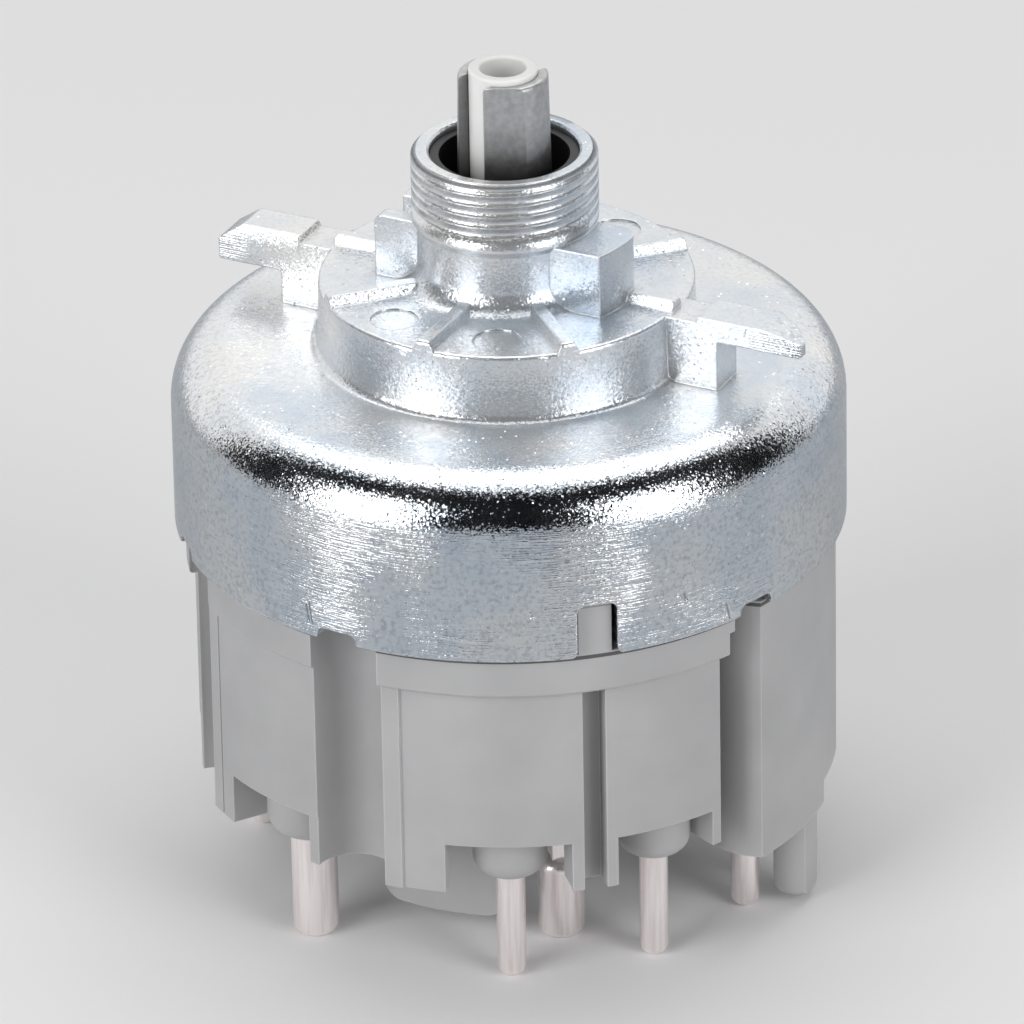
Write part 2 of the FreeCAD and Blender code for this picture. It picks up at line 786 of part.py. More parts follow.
def terminal(name, angle, diameter):
    """A headed round pin, riveted up through the floor; the inner ones hang from a flat tongue."""
    radius = diameter / 2
    shoulder = landTopZ - headHeight
    shankZ = shankBottom(name)
    if name in innerTerminals:
        neckZ = pinReach - tongueLength
        lower = revolved([
            (0, 0, 0),
            (radius, 0, pinTipRadius),
            (radius, neckZ, pinShoulderRadius),
            (0, neckZ, 0),
        ])
        tongue = block(-tongueWidth / 2, tongueWidth / 2, tongueOffset - tongueThickness / 2,
                       tongueOffset + tongueThickness / 2, neckZ - 1, shankZ + 0.5)
        shank = cylinder(shankRadius(diameter), shankZ, shoulder + 0.5)
        head = cylinder(radius + headLip, shoulder, landTopZ)
        solid = turned(fused([lower, tongue, shank, head]), angle)
    else:
        solid = revolved([
            (0, 0, 0),
            (radius, 0, pinTipRadius),
            (radius, shankZ, 0),
            (shankRadius(diameter), shankZ, 0),
            (shankRadius(diameter), shoulder, 0),
            (radius + headLip, shoulder, 0),
            (radius + headLip, landTopZ, 0),
            (0, landTopZ, 0),
        ])
    solid.translate(pinCentre(name, angle))
    return solid


def fixedContact(name, angle, diameter):
    """A contact segment on the land, with a tab over the head of its pin."""
    segment = sector(contactOuter, contactInner, landTopZ, contactTopZ, angle - contactHalfAngle,
                     angle + contactHalfAngle)
    if name not in innerTerminals:
        reach = pinCircleRadius + diameter / 2
        tab = block(contactOuter - 1, reach, -contactTabWidth / 2, contactTabWidth / 2, landTopZ, contactTopZ)
        segment = segment.fuse(turned(tab, angle))
    return segment.removeSplitter()


# Rotor and index parts

def rotor():
    disc = cylinder(rotorDiscRadius, rotorBottomZ, rotorDiscTopZ)
    column = cylinder(rotorColumnRadius, rotorBottomZ, indexDiscBottomZ + 1)
    index = cylinder(indexDiscRadius, indexDiscBottomZ, indexDiscBottomZ + indexDiscHeight)
    shaft = cylinder(journalRadius, indexDiscBottomZ, rotorTopZ)
    solid = fused([disc, column, index, shaft])
    cuts = [
        cylinder(rotorWellRadius, rotorBottomZ - 1, wellTopZ),
        cylinder(cupRadius, cupFloorZ, rotorTopZ + 1),
        doubleFlat(spindleRadius + spindlePlay, spindleFlat + spindlePlay, wellTopZ - 1, cupFloorZ + 1),
    ]
    pocketTop = contactTopZ + contactPlay + bridgeThickness + bridgeLift
    spread = degrees(bridgePlay / bridgeInner)
    middle = (bridgeInner + bridgeOuter) / 2
    for angle in bridgeAngles:
        cuts.append(sector(bridgeOuter + bridgePlay, bridgeInner - bridgePlay, rotorBottomZ - 1, pocketTop,
                           angle - bridgeHalfAngle - spread, angle + bridgeHalfAngle + spread))
        springTop = contactTopZ + contactPlay + bridgeThickness + bridgeSpringLength
        cuts.append(cylinder(springMeanRadius + springWire, pocketTop - 1, springTop, at(middle, angle)))
    for angle in ballAngles:
        bore = Part.makeCylinder(ballRadius + ballPlay, indexDiscRadius, at(springSeat(), angle, ballZ),
                                 at(1, angle))
        cuts.append(bore)
    return solid.cut(fused(cuts))


def doubleFlat(radius, flat, bottom, top):
    solid = cylinder(radius, bottom, top)
    return solid.common(block(-radius - 1, radius + 1, -flat, flat, bottom, top))


def ballCentre():
    return indexRingInner - ballGap - ballRadius


def springSeat():
    return ballCentre() - ballRadius - indexSpringLength


def indexRing():
    """The fixed ring with one notch for each switch position under each ball."""
    solid = ring(canRadius - canWall - indexRingFit, indexRingInner, spigotTopZ, indexRingTopZ)
    notchCentre = indexRingInner + indexNotchDepth - indexNotchRadius
    cuts = []
    for ball in ballAngles:
        for step in range(indexFirst, indexLast + 1):
            centre = at(notchCentre, ball + step * indexPitch)
            cuts.append(cylinder(indexNotchRadius, spigotTopZ - 1, indexRingTopZ + 1, centre))
    return solid.cut(fused(cuts))


def indexBall(angle):
    return Part.makeSphere(ballRadius, at(ballCentre(), angle, ballZ))


def indexSpring(angle):
    touch = ballRadius + springWire / 2 + rotorGap / 5
    reach = ballCentre() - (touch ** 2 - indexSpringMean ** 2) ** 0.5 + springWire / 2
    spring = coil(indexSpringMean, springWire, reach - springSeat(), springTurns)
    spring.rotate(origin, FreeCAD.Vector(0, 1, 0), 90)
    spring.translate(FreeCAD.Vector(springSeat(), 0, ballZ))
    return turned(spring, angle)


def bridge(angle):
    bottom = contactTopZ + contactPlay
    return sector(bridgeOuter, bridgeInner, bottom, bottom + bridgeThickness, angle - bridgeHalfAngle,
                  angle + bridgeHalfAngle)


def bridgeSpring(angle):
    spring = coil(springMeanRadius, springWire, bridgeSpringLength, springTurns)
    spring.translate(FreeCAD.Vector((bridgeInner + bridgeOuter) / 2, 0, contactTopZ + contactPlay + bridgeThickness))
    return turned(spring, angle)


# Spindle and what it carries

def spindle():
    shaft = doubleFlat(spindleRadius, spindleFlat, spindleBottomZ, sleeveBottomZ + 1)
    foot = cylinder(spindleRadius + spindleFootLip, spindleBottomZ, footTopZ)
    sleeve = revolved([
        (0, sleeveBottomZ, 0),
        (spindleRadius + spindleTaper, sleeveBottomZ, 0),
        (spindleRadius - spindleTaper, spindleTopZ, sleeveEdgeRadius),
        (0, spindleTopZ, 0),
    ])
    # Flats on two opposite sides of the sleeve, then the two wide slots
    flatCut = block(-spindleRadius - 1, spindleRadius + 1, sleeveFlat, spindleRadius + 1,
                    sleeveBottomZ + 0.5, spindleTopZ + 1)
    slotCut = block(-spindleRadius - 1, spindleRadius + 1, -sleeveSlotWidth / 2, sleeveSlotWidth / 2,
                    sleeveBottomZ + 1.5, spindleTopZ + 1)
    for side in (0, 180):
        sleeve = sleeve.cut(turned(flatCut, sleeveFlatAngle - 90 + side))
    sleeve = sleeve.cut(turned(slotCut, sleeveSlotAngle))
    solid = fused([shaft, foot, sleeve])
    return solid.cut(cylinder(pipeRadius + pipePlay, spindleBottomZ - 1, spindleTopZ + 1))


def lightPipe():
    return revolved([
        (pipeBore, spindleBottomZ, 0),
        (pipeRadius, spindleBottomZ, 0),
        (pipeRadius, pipeTopZ, pipeEdgeRadius),
        (pipeBore, pipeTopZ, pipeEdgeRadius),
    ])


def pullContact():
    return ring(pullContactOuter, spindleRadius + spindlePlay / 2, footTopZ, pullContactTopZ)


def fogBlade(angle):
    """A bent spring blade: flat on the floor, then up to just under the pull contact."""
    top = footTopZ - contactPlay
    foot = block(bladeCircleRadius, bladeCircleRadius + bladeReach, -bladeWidth / 2, bladeWidth / 2, floorTopZ,
                 floorTopZ + bladeThickness)
    blade = block(bladeCircleRadius, bladeCircleRadius + bladeThickness, -bladeWidth / 2, bladeWidth / 2,
                  floorTopZ, top)
    return turned(foot.fuse(blade).removeSplitter(), angle)


def export(name, shape):
    shape.exportStep("parts/" + name + ".step")


os.makedirs("parts", exist_ok=True)
export("housing", housing())
export("terminal_base", terminalBase())
for name, angle, size in terminals:
    export(name, terminal(name, angle, size))
    export(name.replace("terminal", "contact"), fixedContact(name, angle, size))
export("rotor", rotor())
export("index_ring", indexRing())
for number, angle in enumerate(ballAngles, 1):
    export("index_ball_%d" % number, indexBall(angle))
    export("index_spring_%d" % number, indexSpring(angle))
for number, angle in enumerate(bridgeAngles, 1):
    export("bridge_%d" % number, bridge(angle))
    export("bridge_spring_%d" % number, bridgeSpring(angle))
export("spindle", spindle())
export("light_pipe", lightPipe())
export("pull_contact", pullContact())
for number, angle in enumerate(bladeAngles, 1):
    export("fog_blade_%d" % number, fogBlade(angle))
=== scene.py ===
import json
import math
import bpy
from mathutils import Matrix, Vector


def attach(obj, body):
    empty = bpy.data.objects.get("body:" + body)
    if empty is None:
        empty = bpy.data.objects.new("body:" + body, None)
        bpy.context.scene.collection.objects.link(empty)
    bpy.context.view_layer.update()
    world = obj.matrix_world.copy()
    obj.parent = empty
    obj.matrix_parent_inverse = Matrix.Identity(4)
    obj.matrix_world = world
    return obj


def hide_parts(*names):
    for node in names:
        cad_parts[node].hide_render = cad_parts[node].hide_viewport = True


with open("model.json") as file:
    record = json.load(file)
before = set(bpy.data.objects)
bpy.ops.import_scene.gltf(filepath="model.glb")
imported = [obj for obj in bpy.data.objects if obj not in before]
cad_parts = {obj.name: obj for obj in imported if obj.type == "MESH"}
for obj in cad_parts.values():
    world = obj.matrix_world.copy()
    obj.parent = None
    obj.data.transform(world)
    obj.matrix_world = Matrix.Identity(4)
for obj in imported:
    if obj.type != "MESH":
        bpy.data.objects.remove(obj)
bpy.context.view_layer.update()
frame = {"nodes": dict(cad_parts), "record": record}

nodes = frame["nodes"]
mm = 0.001
bpy.context.view_layer.update()


def selectOnly(obj):
    bpy.ops.object.select_all(action="DESELECT")
    obj.select_set(True)
    bpy.context.view_layer.objects.active = obj


def applyAll(obj):
    selectOnly(obj)
    for modifier in list(obj.modifiers):
        bpy.ops.object.modifier_apply(modifier=modifier.name)


def copyNode(name, newName):
    # a merged copy of a CAD node, ready to be worked on
    piece = nodes[name].copy()
    piece.data = nodes[name].data.copy()
    piece.name = newName
    piece.parent = None
    for key in list(piece.keys()):
        del piece[key]
    bpy.context.scene.collection.objects.link(piece)
    selectOnly(piece)
    bpy.ops.object.mode_set(mode="EDIT")
    bpy.ops.mesh.select_all(action="SELECT")
    bpy.ops.mesh.remove_doubles(threshold=0.000002)
    bpy.ops.object.mode_set(mode="OBJECT")
    if piece.data.has_custom_normals:
        bpy.ops.mesh.customdata_custom_splitnormals_clear()
    return piece


# Node tools for the materials

def newMaterial(name):
    material = bpy.data.materials.new(name)
    material.use_nodes = True
    tree = material.node_tree
    return material, tree, tree.nodes["Principled BSDF"]


def addNode(tree, kind, settings=None, **inputs):
    node = tree.nodes.new(kind)
    for key, value in (settings or {}).items():
        setattr(node, key, value)
    for key, value in inputs.items():
        socket = node.inputs[int(key[1:])] if key[0] == "i" and key[1:].isdigit() else node.inputs[key]
        if isinstance(value, bpy.types.NodeSocket):
            tree.links.new(value, socket)
        else:
            socket.default_value = value
    return node


def newGroup(name, ins, outs):
    group = bpy.data.node_groups.new(name, "ShaderNodeTree")
    for label, kind, value in ins:
        socket = group.interface.new_socket(name=label, in_out="INPUT", socket_type=kind)
        if value is not None:
            socket.default_value = value
    for label, kind in outs:
        group.interface.new_socket(name=label, in_out="OUTPUT", socket_type=kind)
    start = group.nodes.new("NodeGroupInput")
    end = group.nodes.new("NodeGroupOutput")
    return group, start, end


def placeGroup(tree, group, **inputs):
    node = tree.nodes.new("ShaderNodeGroup")
    node.node_tree = group
    for key, value in inputs.items():
        if isinstance(value, bpy.types.NodeSocket):
            tree.links.new(value, node.inputs[key])
        else:
            node.inputs[key].default_value = value
    return node


def mathNode(tree, operation, a, b=None, clamp=False):
    node = tree.nodes.new("ShaderNodeMath")
    node.operation = operation
    node.use_clamp = clamp
    for i, value in enumerate((a, b)):
        if value is None:
            continue
        if isinstance(value, bpy.types.NodeSocket):
            tree.links.new(value, node.inputs[i])
        else:
            node.inputs[i].default_value = value
    return node.outputs[0]


def mapRange(tree, value, fromLow, fromHigh, toLow, toHigh):
    node = addNode(tree, "ShaderNodeMapRange", None, i0=value, i1=fromLow, i2=fromHigh, i3=toLow, i4=toHigh)
    return node.outputs[0]


def mixColours(tree, factor, first, second):
    node = addNode(tree, "ShaderNodeMix", {"data_type": "RGBA"}, Factor=factor)
    for index, value in ((6, first), (7, second)):
        if isinstance(value, bpy.types.NodeSocket):
            tree.links.new(value, node.inputs[index])
        else:
            node.inputs[index].default_value = (*value, 1)
    return node.outputs[2]


def tintedBy(colour, share):
    return tuple(min(1.0, c * share) for c in colour)


def rampNode(tree, value, stops):
    node = tree.nodes.new("ShaderNodeValToRGB")
    tree.links.new(value, node.inputs[0])
    elements = node.color_ramp.elements
    while len(elements) < len(stops):
        elements.new(0.5)
    for element, (place, shade) in zip(elements, stops):
        element.position = place
        element.color = (*shade, 1)
    return node.outputs[0]


def bumpFrom(tree, height, strength, distance, normal):
    return addNode(tree, "ShaderNodeBump", None, Strength=strength, Distance=distance, Height=height,
                   Normal=normal).outputs[0]


# Edge mask: how far the rounded normal turns away from the true one; the materials paint a highlight on
# edges with it

def edgeGroup():
    group, start, end = newGroup("Edge highlight and bevel", [("Width", "NodeSocketFloat", 0.0003),
                                               ("Strength", "NodeSocketFloat", 3.0)],
                                 [("Mask", "NodeSocketFloat"), ("Normal", "NodeSocketVector")])
    bevel = addNode(group, "ShaderNodeBevel", {"samples": 6})
    group.links.new(start.outputs["Width"], bevel.inputs["Radius"])
    geometry = group.nodes.new("ShaderNodeNewGeometry")
    dot = addNode(group, "ShaderNodeVectorMath", {"operation": "DOT_PRODUCT"}, i0=bevel.outputs[0],
                  i1=geometry.outputs["Normal"])
    turn = mathNode(group, "SUBTRACT", 1.0, dot.outputs["Value"], True)
    strong = mathNode(group, "MULTIPLY", turn, start.outputs["Strength"], True)
    group.links.new(strong, end.inputs["Mask"])
    group.links.new(bevel.outputs[0], end.inputs["Normal"])
    return group


# Lines drawn round the can wall, broken up in patches; none on the top, the boss or the neck
drawnShape = {
    "inner": 0.024,
    "patchScale": 110.0,
    "patchFade": (0.38, 0.60),
    "patchLeast": 0.12,
    "wallFade": (0.30, 0.06),
    "lineFade": (0.42, 0.66),
}


def drawnGroup():
    shape = drawnShape
    group, start, end = newGroup("Drawn lines", [("Fineness", "NodeSocketFloat", 9000.0),
                                                 ("Length", "NodeSocketFloat", 6.0),
                                                 ("Inner", "NodeSocketFloat", shape["inner"])],
                                 [("Lines", "NodeSocketFloat")])
    place = group.nodes.new("ShaderNodeTexCoord")
    parts = addNode(group, "ShaderNodeSeparateXYZ", None, i0=place.outputs["Object"])
    angle = mathNode(group, "ARCTAN2", parts.outputs[1], parts.outputs[0])
    length = start.outputs["Length"]
    high = mathNode(group, "MULTIPLY", parts.outputs[2], start.outputs["Fineness"])
    vector = addNode(group, "ShaderNodeCombineXYZ", None,
                     i0=mathNode(group, "MULTIPLY", mathNode(group, "COSINE", angle), length),
                     i1=mathNode(group, "MULTIPLY", mathNode(group, "SINE", angle), length), i2=high)
    lines = addNode(group, "ShaderNodeTexNoise", None, Vector=vector.outputs[0], Scale=1.0, Detail=2.0,
                    Roughness=0.5)
    patches = addNode(group, "ShaderNodeTexNoise", None, Vector=place.outputs["Object"],
                      Scale=shape["patchScale"], Detail=2.0, Roughness=0.5)
    broken = mapRange(group, patches.outputs[0], *shape["patchFade"], shape["patchLeast"], 1.0)
    geometry = group.nodes.new("ShaderNodeNewGeometry")
    facing = addNode(group, "ShaderNodeSeparateXYZ", None, i0=geometry.outputs["Normal"])
    steep = mapRange(group, mathNode(group, "ABSOLUTE", facing.outputs[2]), *shape["wallFade"], 0.0, 1.0)
    flat = addNode(group, "ShaderNodeCombineXYZ", None, i0=parts.outputs[0], i1=parts.outputs[1])
    away = addNode(group, "ShaderNodeVectorMath", {"operation": "LENGTH"}, i0=flat.outputs[0])
    outside = mathNode(group, "GREATER_THAN", away.outputs["Value"], start.outputs["Inner"])
    wall = mathNode(group, "MULTIPLY", steep, outside)
    shown = mathNode(group, "MULTIPLY", wall, broken)
    sharp = mapRange(group, lines.outputs[0], *shape["lineFade"], 0.0, 1.0)
    group.links.new(mathNode(group, "MULTIPLY", sharp, shown), end.inputs["Lines"])
    return group


# Fine grain of a cast, plated or moulded surface, with raised specks in some of its cells
grainShape = {"cellShare": 0.55, "speckRadius": 0.40, "speckFill": 3.0}


def grainGroup():
    shape = grainShape
    group, start, end = newGroup("Plated grain", [("Scale", "NodeSocketFloat", 3500.0),
                                                  ("Specks", "NodeSocketFloat", 0.5),
                                                  ("Share", "NodeSocketFloat", 0.3)],
                                 [("Height", "NodeSocketFloat"), ("Speck", "NodeSocketFloat")])
    place = group.nodes.new("ShaderNodeTexCoord")
    fine = addNode(group, "ShaderNodeTexNoise", None, Vector=place.outputs["Object"],
                   Scale=start.outputs["Scale"], Detail=2.0, Roughness=0.55)
    cells = addNode(group, "ShaderNodeTexVoronoi", None, Vector=place.outputs["Object"],
                    Scale=mathNode(group, "MULTIPLY", start.outputs["Scale"], shape["cellShare"]))
    lot = addNode(group, "ShaderNodeSeparateColor", None, i0=cells.outputs["Color"])
    picked = mathNode(group, "LESS_THAN", lot.outputs[0], start.outputs["Share"])
    dome = mathNode(group, "SUBTRACT", shape["speckRadius"], cells.outputs["Distance"], True)
    speck = mathNode(group, "MULTIPLY", dome, picked)
    raised = mathNode(group, "MULTIPLY", speck, start.outputs["Specks"])
    group.links.new(mathNode(group, "ADD", fine.outputs[0], raised), end.inputs["Height"])
    group.links.new(mathNode(group, "MULTIPLY", speck, shape["speckFill"], True), end.inputs["Speck"])
    return group


# Crystals of the plating: every small cell turns the normal its own way, and a share of them turns it more
steepCrystal = 3.5


def crystalGroup():
    group, start, end = newGroup("Crystals", [("Scale", "NodeSocketFloat", 7000.0),
                                              ("Turn", "NodeSocketFloat", 0.3),
                                              ("Share", "NodeSocketFloat", 0.0),
                                              ("Normal", "NodeSocketVector", None)],
                                 [("Normal", "NodeSocketVector")])
    place = group.nodes.new("ShaderNodeTexCoord")
    cells = addNode(group, "ShaderNodeTexVoronoi", None, Vector=place.outputs["Object"],
                    Scale=start.outputs["Scale"])
    centred = addNode(group, "ShaderNodeVectorMath", {"operation": "SUBTRACT"}, i0=cells.outputs["Color"],
                      i1=(0.5, 0.5, 0.5))
    lot = addNode(group, "ShaderNodeSeparateColor", None, i0=cells.outputs["Color"])
    steep = mathNode(group, "LESS_THAN", lot.outputs[2], start.outputs["Share"])
    more = mathNode(group, "ADD", mathNode(group, "MULTIPLY", steep, steepCrystal), 1.0)
    turned = addNode(group, "ShaderNodeVectorMath", {"operation": "SCALE"}, i0=centred.outputs[0],
                     Scale=mathNode(group, "MULTIPLY", start.outputs["Turn"], more))
    leaning = addNode(group, "ShaderNodeVectorMath", {"operation": "ADD"}, i0=turned.outputs[0],
                      i1=start.outputs["Normal"])
    normal = addNode(group, "ShaderNodeVectorMath", {"operation": "NORMALIZE"}, i0=leaning.outputs[0])
    group.links.new(normal.outputs[0], end.inputs["Normal"])
    return group


# A single scratch or dent: 1 on the line between two points, fading to 0 at its width

def nickGroup():
    group, start, end = newGroup("Nick", [("From", "NodeSocketVector", None),
                                          ("To", "NodeSocketVector", None),
                                          ("Width", "NodeSocketFloat", 0.0001)],
                                 [("Mask", "NodeSocketFloat")])
    place = group.nodes.new("ShaderNodeTexCoord")
    along = addNode(group, "ShaderNodeVectorMath", {"operation": "SUBTRACT"}, i0=start.outputs["To"],
                    i1=start.outputs["From"])
    here = addNode(group, "ShaderNodeVectorMath", {"operation": "SUBTRACT"}, i0=place.outputs["Object"],
                   i1=start.outputs["From"])
    part = addNode(group, "ShaderNodeVectorMath", {"operation": "DOT_PRODUCT"}, i0=here.outputs[0],
                   i1=along.outputs[0])
    whole = addNode(group, "ShaderNodeVectorMath", {"operation": "DOT_PRODUCT"}, i0=along.outputs[0],
                    i1=along.outputs[0])
    share = mathNode(group, "DIVIDE", part.outputs["Value"], whole.outputs["Value"], True)
    reached = addNode(group, "ShaderNodeVectorMath", {"operation": "SCALE"}, i0=along.outputs[0],
                      Scale=share)
    gap = addNode(group, "ShaderNodeVectorMath", {"operation": "DISTANCE"}, i0=here.outputs[0],
                  i1=reached.outputs[0])
    ratio = mathNode(group, "DIVIDE", gap.outputs["Value"], start.outputs["Width"], True)
    group.links.new(mathNode(group, "SUBTRACT", 1.0, ratio, True), end.inputs["Mask"])
    return group


edgeHighlightAndBevel = edgeGroup()
drawnLines = drawnGroup()
platedGrain = grainGroup()
nickMask = nickGroup()
crystals = crystalGroup()
print("node groups ready")


zincLook = {
    "cool": (0.60, 0.67, 0.75),
    "plain": (0.745, 0.775, 0.805),
    "warm": (0.83, 0.825, 0.81),
    "patchScale": 75.0,
    "patchStops": (0.34, 0.50, 0.64),
    "roughFade": (0.3, 0.7),
    "roughness": (0.12, 0.20),
    "satinRoughness": 0.26,
    "satinMetal": 0.74,
    "satinInside": (0.0240, 0.0272),
    "crystalScale": 7400.0,
    "crystalTurn": 0.175,
    "satinTurn": 0.15,
    "steepShare": 0.015,
    "speckScale": 3600.0,
    "speckShare": 0.035,
    "speckHeight": 3.0,
    "speckColour": (0.97, 0.97, 0.97),
    "grainDepth": 0.000030,
    "lineFineness": 7500.0,
    "lineLength": 11.0,
    "lineDepth": 0.000027,
    "lineShade": 0.75,
    "lineColour": (0.96, 0.96, 0.96),
    "pitScale": 2400.0,
    "pitFade": (0.46, 0.68),
    "pitShade": 0.55,
    "satinPitShade": 0.16,
    "pitColour": (0.34, 0.37, 0.41),
    "nookSize": 0.0014,
    "nookFade": (0.90, 0.35),
    "nookShade": 0.50,
    "nookColour": (0.22, 0.24, 0.26),
    "edge": 0.00022,
    "edgeStrength": 4.0,
    "edgeHighlightColour": (0.93, 0.94, 0.95),
    "nickDepth": 0.00010,
    "nickShade": 0.55,
    "nickColour": (0.30, 0.32, 0.35),
}

# scratches and dents on the can wall: angle and height of both ends, and width, in degrees and mm
wallNicks = [
    (-100.4, 36.3, -99.9, 34.9, 0.12),
    (-99.8, 36.6, -99.2, 34.6, 0.10),
    (-24.9, 35.3, -24.2, 33.8, 0.12),
    (-60.6, 38.2, -60.3, 37.7, 0.20),
    (-33.4, 37.6, -33.2, 37.1, 0.18),
    (20.0, 40.0, 21.5, 39.0, 0.14),
    (140.0, 42.0, 141.0, 40.5, 0.15),
]
canRadius = 29.0 * mm


def wallPoint(angle, height):
    a = math.radians(angle)
    return (canRadius * math.cos(a), canRadius * math.sin(a), height * mm)


def nickHeight(tree, nicks):
    total = None
    for fromAngle, fromHeight, toAngle, toHeight, width in nicks:
        mask = placeGroup(tree, nickMask, From=wallPoint(fromAngle, fromHeight),
                          To=wallPoint(toAngle, toHeight), Width=width * mm).outputs[0]
        total = mask if total is None else mathNode(tree, "MAXIMUM", total, mask)
    return total


def zincMaterial():
    look = zincLook
    material, tree, surface = newMaterial("bright plated zinc casting")
    grain = placeGroup(tree, platedGrain, Scale=look["speckScale"], Specks=look["speckHeight"],
                       Share=look["speckShare"])
    drawn = placeGroup(tree, drawnLines, Fineness=look["lineFineness"], Length=look["lineLength"])
    edge = placeGroup(tree, edgeHighlightAndBevel, Width=look["edge"], Strength=look["edgeStrength"])
    place = tree.nodes.new("ShaderNodeTexCoord")
    patches = addNode(tree, "ShaderNodeTexNoise", None, Vector=place.outputs["Object"],
                      Scale=look["patchScale"], Detail=6.0, Roughness=0.62)
    shades = (look["cool"], look["plain"], look["warm"])
    tint = rampNode(tree, patches.outputs[0], list(zip(look["patchStops"], shades)))
    # the top, the boss and the neck are duller and less pitted than the polished shoulder and wall
    flat = addNode(tree, "ShaderNodeVectorMath", {"operation": "MULTIPLY"}, i0=place.outputs["Object"],
                   i1=(1, 1, 0))
    away = addNode(tree, "ShaderNodeVectorMath", {"operation": "LENGTH"}, i0=flat.outputs[0])
    satin = mapRange(tree, away.outputs["Value"], *look["satinInside"], 1.0, 0.0)
    pits = addNode(tree, "ShaderNodeTexNoise", None, Vector=place.outputs["Object"], Scale=look["pitScale"],
                   Detail=3.0, Roughness=0.6)
    depth = mapRange(tree, satin, 0.0, 1.0, look["pitShade"], look["satinPitShade"])
    pitMask = mathNode(tree, "MULTIPLY", mapRange(tree, pits.outputs[0], *look["pitFade"], 0.0, 1.0), depth)
    pitted = mixColours(tree, pitMask, tint, look["pitColour"])
    lineMask = mathNode(tree, "MULTIPLY", drawn.outputs["Lines"], look["lineShade"])
    lined = mixColours(tree, lineMask, pitted, look["lineColour"])
    specked = mixColours(tree, grain.outputs["Speck"], lined, look["speckColour"])
    # painted highlight: the edges of the casting are drawn lighter
    edgeHighlighted = mixColours(tree, edge.outputs["Mask"], specked, look["edgeHighlightColour"])
    # painted shade: darker in nooks and crevices, from ambient occlusion
    nook = addNode(tree, "ShaderNodeAmbientOcclusion", {"samples": 6}, Distance=look["nookSize"])
    hidden = mapRange(tree, nook.outputs["AO"], *look["nookFade"], 0.0, look["nookShade"])
    nookShaded = mixColours(tree, hidden, edgeHighlighted, look["nookColour"])
    nicks = nickHeight(tree, wallNicks)
    nickShade = mathNode(tree, "MULTIPLY", nicks, look["nickShade"])
    tree.links.new(mixColours(tree, nickShade, nookShaded, look["nickColour"]), surface.inputs["Base Color"])
    tree.links.new(mapRange(tree, satin, 0.0, 1.0, 1.0, look["satinMetal"]), surface.inputs["Metallic"])
    rough = mapRange(tree, patches.outputs[0], *look["roughFade"], *look["roughness"])
    dull = addNode(tree, "ShaderNodeMix", None, i0=satin, i2=rough, i3=look["satinRoughness"])
    tree.links.new(dull.outputs[0], surface.inputs["Roughness"])
    lineBump = bumpFrom(tree, drawn.outputs["Lines"], 1.0, look["lineDepth"], edge.outputs["Normal"])
    grainBump = bumpFrom(tree, grain.outputs["Height"], 1.0, look["grainDepth"], lineBump)
    sunk = mathNode(tree, "SUBTRACT", 1.0, nicks)
    nicked = bumpFrom(tree, sunk, 1.0, look["nickDepth"], grainBump)
    turn = mapRange(tree, satin, 0.0, 1.0, look["crystalTurn"], look["satinTurn"])
    plated = placeGroup(tree, crystals, Scale=look["crystalScale"], Turn=turn, Share=look["steepShare"],
                        Normal=nicked)
    tree.links.new(plated.outputs["Normal"], surface.inputs["Normal"])
    return material


plasticLook = {
    "grainScale": 5200.0,
    "specks": 0.3,
    "grainStrength": 0.4,
    "grainDepth": 0.000004,
    "edge": 0.00018,
    "edgeStrength": 7.0,
    "cloudScale": 120.0,
    "cloudStops": (0.35, 0.65),
    "dark": 0.94,
    "light": 1.05,
    "rimShadowStrength": 0.85,
    "rimShadowColour": (0.03, 0.03, 0.03),
}


def plasticMaterial(name, colour, roughness, edgeHighlightLift, rimShadow=None):
    look = plasticLook
    material, tree, surface = newMaterial(name)
    grain = placeGroup(tree, platedGrain, Scale=look["grainScale"], Specks=look["specks"])
    edge = placeGroup(tree, edgeHighlightAndBevel, Width=look["edge"], Strength=look["edgeStrength"])
    place = tree.nodes.new("ShaderNodeTexCoord")
    cloud = addNode(tree, "ShaderNodeTexNoise", None, Vector=place.outputs["Object"],
                    Scale=look["cloudScale"], Detail=4.0)
    shades = (tintedBy(colour, look["dark"]), tintedBy(colour, look["light"]))
    base = rampNode(tree, cloud.outputs[0], list(zip(look["cloudStops"], shades)))
    # painted highlight: the edges are drawn lighter than the moulding
    shown = mixColours(tree, edge.outputs["Mask"], base, tintedBy(colour, edgeHighlightLift))
    if rimShadow:
        # painted shadow: the dark line under the rim of the can, where the moulding meets it
        height = addNode(tree, "ShaderNodeSeparateXYZ", None, i0=place.outputs["Object"]).outputs[2]
        middle, halfWidth = rimShadow
        line = mathNode(tree, "COMPARE", height, middle)
        line.node.inputs[2].default_value = halfWidth
        rimShadowMask = mathNode(tree, "MULTIPLY", line, look["rimShadowStrength"])
        shown = mixColours(tree, rimShadowMask, shown, look["rimShadowColour"])
    tree.links.new(shown, surface.inputs["Base Color"])
    surface.inputs["Roughness"].default_value = roughness
    tree.links.new(bumpFrom(tree, grain.outputs["Height"], look["grainStrength"], look["grainDepth"],
                            edge.outputs["Normal"]), surface.inputs["Normal"])
    return material


metalLook = {
    "specks": 1.0,
    "edge": 0.00012,
    "edgeStrength": 3.0,
    "edgeHighlightLift": 1.15,
    "cloudScale": 1700.0,
    "cloudStops": (0.35, 0.65),
    "roughFade": (0.3, 0.7),
    "grainStrength": 0.6,
    "nookFade": (0.95, 0.35),
    "nookShade": 0.85,
    "nookColour": (0.10, 0.10, 0.10),
}


